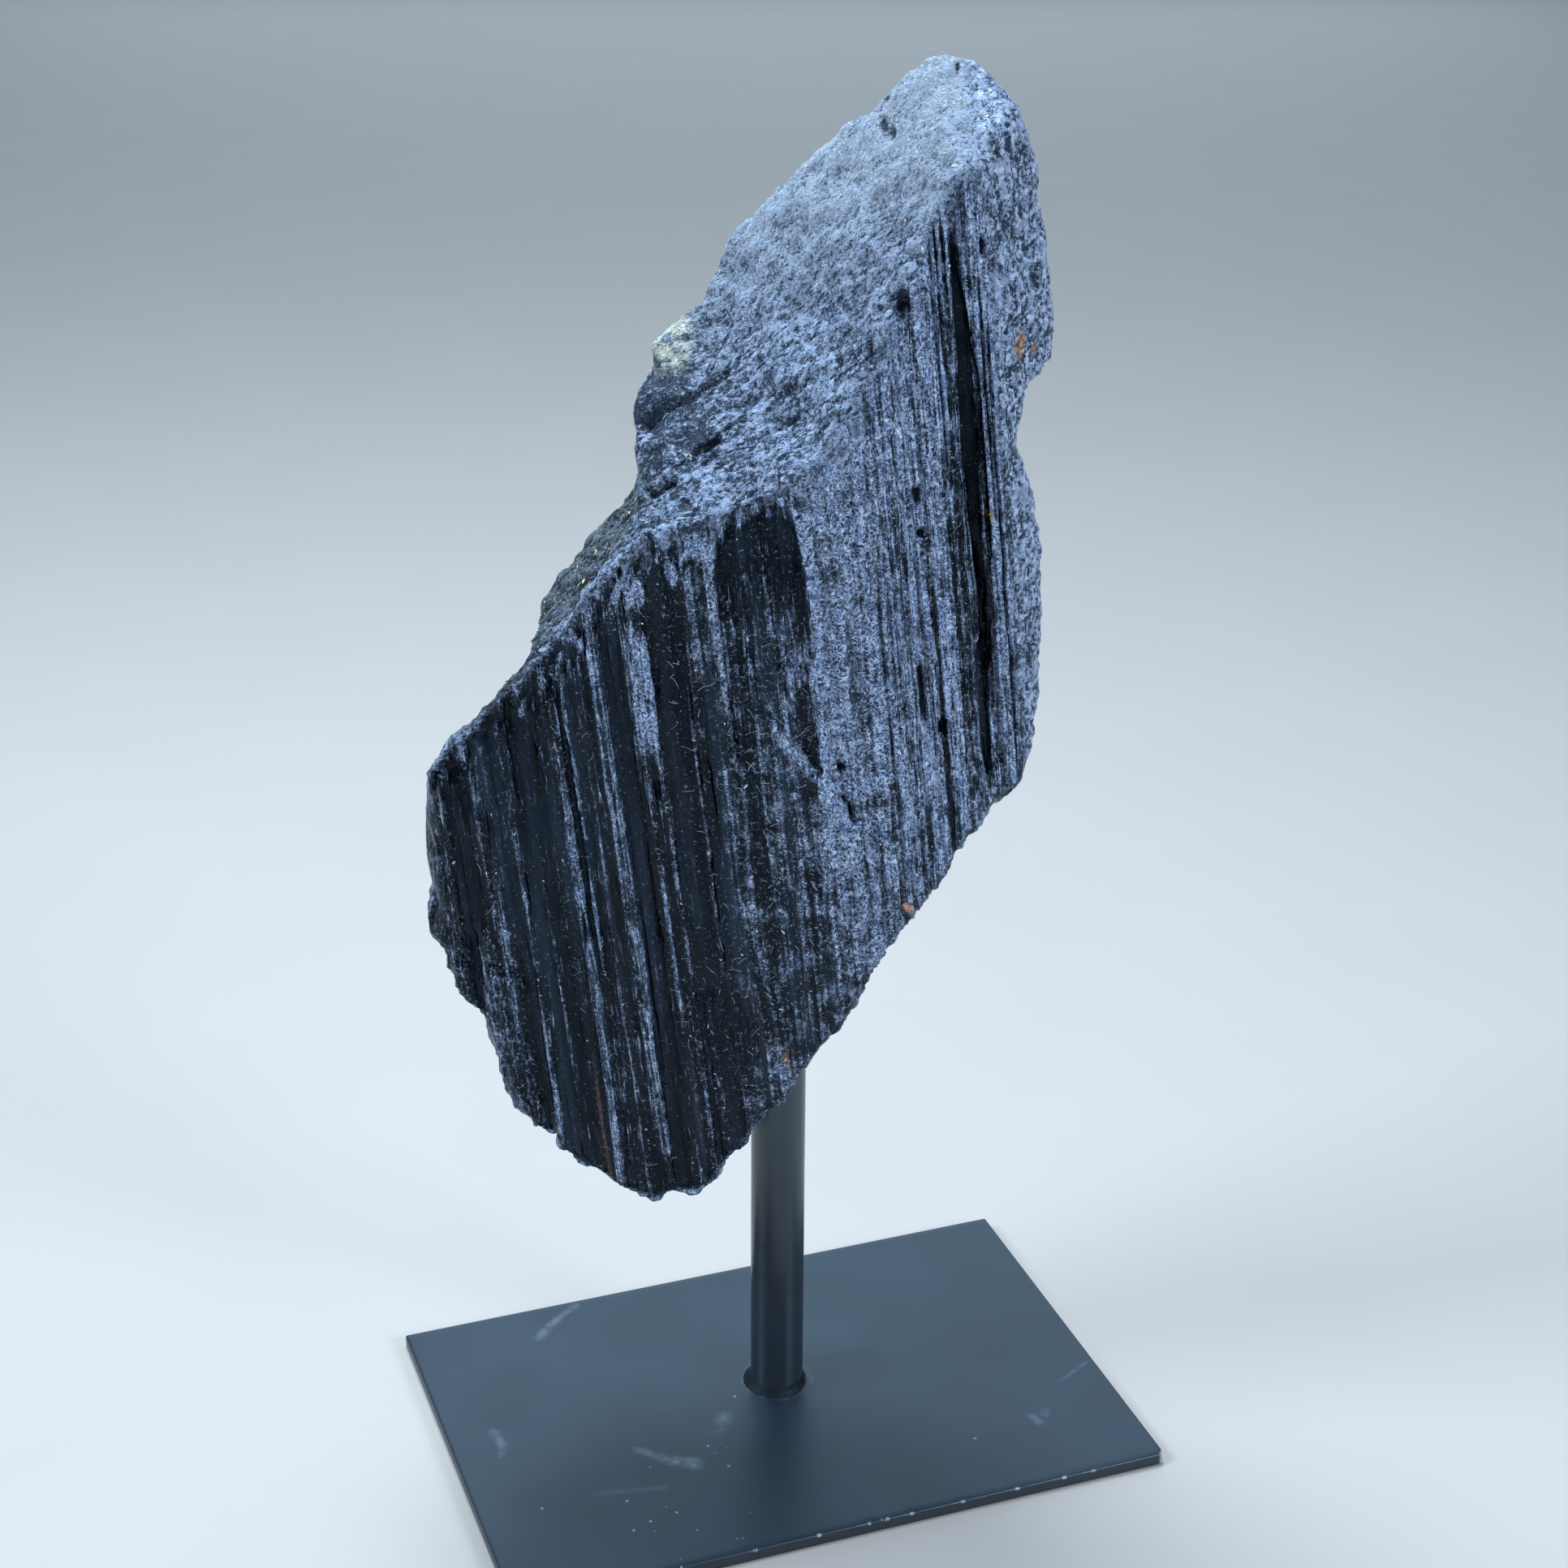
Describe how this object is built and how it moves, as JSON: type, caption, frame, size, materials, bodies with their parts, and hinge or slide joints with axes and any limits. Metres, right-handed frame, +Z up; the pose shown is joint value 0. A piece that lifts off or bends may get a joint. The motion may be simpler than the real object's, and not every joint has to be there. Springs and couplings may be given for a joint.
{
  "type": "black tourmaline specimen on stand",
  "caption": "Tall broken block of striated black tourmaline standing on a black steel post that is welded to a flat rectangular foot plate.",
  "frame": {"origin": "centre of the foot plate's underside", "axes": "+X along the plate's long side to the right, -Y towards the viewer of the striated face, +Z up"},
  "size_m": [0.15, 0.1, 0.3048],
  "materials": {
    "schorl": "satin",
    "black_coat": "satin",
    "coated_weld": "satin"
  },
  "bodies": {
    "root": {"tourmaline": "schorl", "post": "black_coat", "weld_bead": "coated_weld", "base_plate": "black_coat"}
  },
  "joints": []
}
